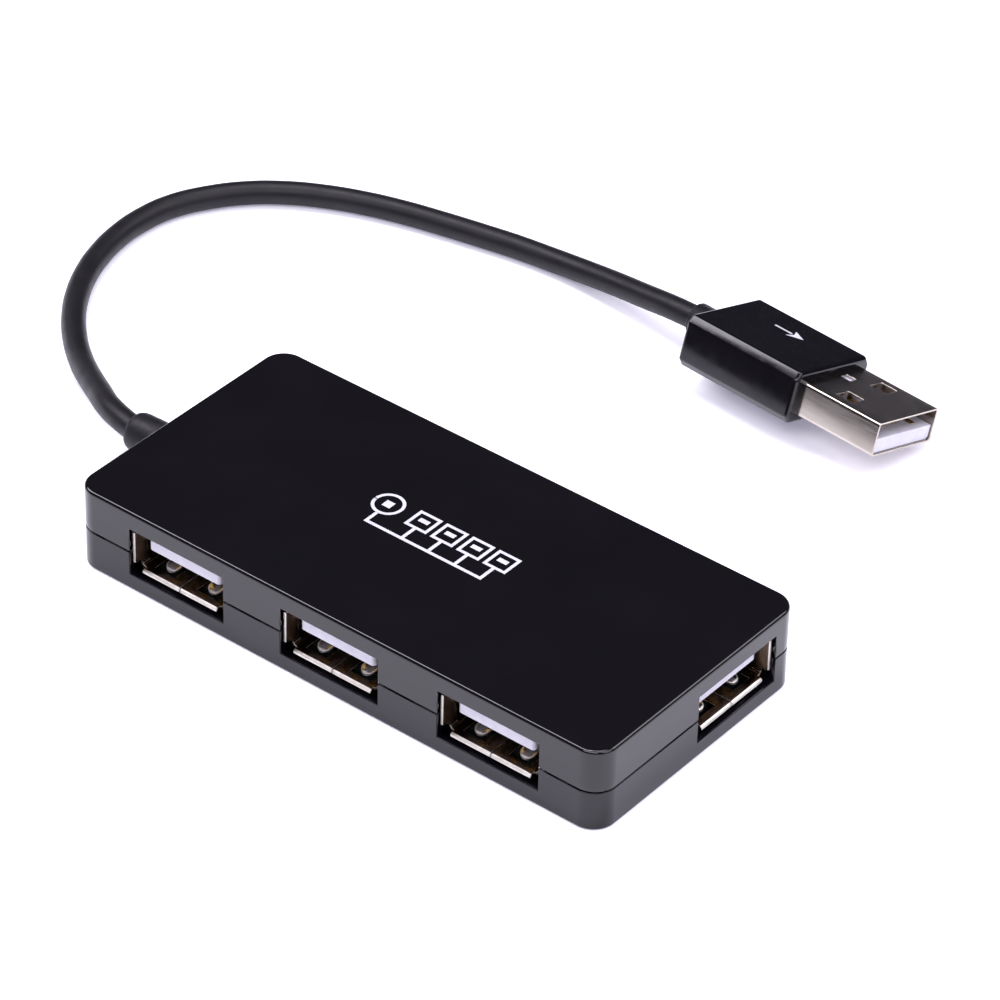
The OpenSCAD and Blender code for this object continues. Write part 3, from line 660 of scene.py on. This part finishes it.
for x in cut_edges:
    stations.append((x, -case_w / 2, 0, -1, "cut"))
corner(case_l / 2 - corner_r, corner_r - case_w / 2, -90)
for y in (end_port_y - cut_half, end_port_y + cut_half):
    stations.append((case_l / 2, y, 1, 0, "cut"))
corner(case_l / 2 - corner_r, case_w / 2 - corner_r, 0)
corner(corner_r - case_l / 2, case_w / 2 - corner_r, 90)
for y in reversed(hole_marks):
    stations.append((-case_l / 2, y, -1, 0, "hole"))
corner(corner_r - case_l / 2, corner_r - case_w / 2, 180)


def cut_cell(i):
    """Whether the wall between two stations is a port's opening."""
    a, b = stations[i % len(stations)], stations[(i + 1) % len(stations)]
    return a[4] == b[4] == "cut" and abs(math.dist(a[:2], b[:2]) - 2 * cut_half) < 0.1


def case_half(name, levels, opening_rows, lip_rows, upward, material):
    """One half of the case. A level is (outer z, outer inset, inner z, inner inset); the last
    one closes the half with its roof or floor."""
    outer, inner = [], []
    for x, y, nx, ny, mark in stations:
        out_column, in_column = [], []
        for row, (out_z, out_in, in_z, in_in) in enumerate(levels):
            if mark == "hole" and row < len(levels) - 2:
                arc = math.sqrt(max(0, hole_r ** 2 - y ** 2))
                edge = lead_z + (arc if upward else -arc)
                pick = max if upward else min
                out_z, in_z = pick(out_z, edge), pick(in_z, edge)
            out_column.append(Vector((x - nx * out_in, y - ny * out_in, out_z)))
            in_column.append(Vector((x - nx * in_in, y - ny * in_in, in_z)))
        outer.append(out_column)
        inner.append(in_column)

    def there(i, j):
        """Whether a cell of the wall is solid, and not a port's opening or the lead's hole."""
        a, b = stations[i % len(stations)][4], stations[(i + 1) % len(stations)][4]
        if cut_cell(i) and j in opening_rows:
            return False
        return not (a == b == "hole" and j in lip_rows)

    points, faces = sheet_grid(inner, outer, there, True)
    count, last = len(stations), len(levels) - 1
    rim = [(i * len(levels) + last) for i in range(count)]
    shift = count * len(levels)
    lids = [set((k, (k + len(levels)) % shift)) for k in rim]
    faces = [f for f in faces if not any(
        {v % shift for v in f} == lid and len({v // shift for v in f}) == 2 for lid in lids)]
    faces += [rim, [k + shift for k in rim]]
    return new_piece(name, points, faces, material, "case_black")


def skin_share(a, b, rim_z, rest):
    """Full rounding at the closed end's rim, a little at the skin's other edges, none inside."""
    for p in (a, b):
        aside = Vector((max(0, abs(p.x) - case_l / 2 + corner_r),
                        max(0, abs(p.y) - case_w / 2 + corner_r)))
        if aside.length < corner_r - 0.01:
            return 0
    return 1 if abs(a.z - rim_z) + abs(b.z - rim_z) < 0.01 else rest


upper = case_half("case_upper_half", [
    (5.55, 0, 5.55, 0.75), (6.5, 0, 6.5, 0.75), (6.55, 0, 6.55, 1.5), (8.8, 0, 8.8, 1.5),
    (case_h, 0, 9.9, 1.5)], opening_rows=(0, 1, 2), lip_rows=(), upward=True, material=abs_black)
round_edges(upper, 0.45, 5, 30, lambda a, b: skin_share(a, b, case_h, 0.28))
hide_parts("top_cover")
# The lower half is a darker, duller copy of the upper half's polish: painted shade, which makes
# the lower walls read darker than the upper ones.
abs_lower = finish_of("black_abs_painted_shade", "#0e0c12", 0.1, ior=1.44)
vary(abs_lower, "Base Color", "#0c0a10", "#0f0d14", 12)
vary(abs_lower, "Roughness", 0.08, 0.13, 3, seed=9)
vary(abs_lower, "Normal", 0.012, 0.2, 8, seed=4)
lower = case_half("case_lower_half", [
    (6.45, 0.85, 6.45, 1.5), (5.37, 0.85, 5.4, 1.5), (5.35, 0, 5.35, 1.5), (2.2, 0, 2.2, 1.5),
    (0, 0, 1.3, 1.5)], opening_rows=(0, 1, 2), lip_rows=(0, 1), upward=False, material=abs_lower)
round_edges(lower, 0.3, 3, 30, lambda a, b: skin_share(a, b, 0, 0.35))
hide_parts("bottom_shell")

# ---------- print on the top ----------
# Pad-printed in the same white ink: a diagram of the four ports on one line, with a ring round
# a square dot for the computer's end of the lead.


def ring_outline(x, y, radius, wide):
    """A ring of ink round a centre, in two halves."""
    halves, parts = [], 32
    for start in (0, parts):
        arc = [math.pi * (start + k) / parts for k in range(parts + 1)]
        halves.append([(x + radius * math.cos(t), y + radius * math.sin(t)) for t in arc]
                      + [(x + (radius - wide) * math.cos(t), y + (radius - wide) * math.sin(t))
                         for t in reversed(arc)])
    return halves


def box_outline(x, y, w, h, wide):
    """A rectangle drawn in four strokes of ink."""
    right, top = x + w, y + h
    return [ink_block(x, y, right, y + wide), ink_block(x, top - wide, right, top),
            ink_block(x, y + wide, x + wide, top - wide),
            ink_block(right - wide, y + wide, right, top - wide)]


line_w = 0.42
ring_x, ring_y, ring_r, dot_half = -8.6, 2.3, 2.1, 0.6
box_x, box_low, box_w, box_h, box_pitch = -4.9, 0.6, 3.35, 3.3, 3.95
line_low, line_top, line_start, line_end = -2.05, -1.6, -8.82, 8.85
marks = ring_outline(ring_x, ring_y, ring_r, line_w)
marks += [ink_block(ring_x - dot_half, ring_y - dot_half, ring_x + dot_half, ring_y + dot_half),
          ink_block(line_start, line_low, line_end, line_top),
          ink_block(line_start, line_top, line_start + 0.44, 0.25)]
for k in range(4):
    x = box_x + box_pitch * k
    marks += box_outline(x, box_low, box_w, box_h, line_w)
    marks += [ink_block(x + 0.95, 2.05, x + 2.4, 2.75),
              ink_block(x + 1.45, line_top, x + 1.9, box_low)]
flat_print("port_diagram_print", marks, Matrix.Translation((0, 0, case_h)))
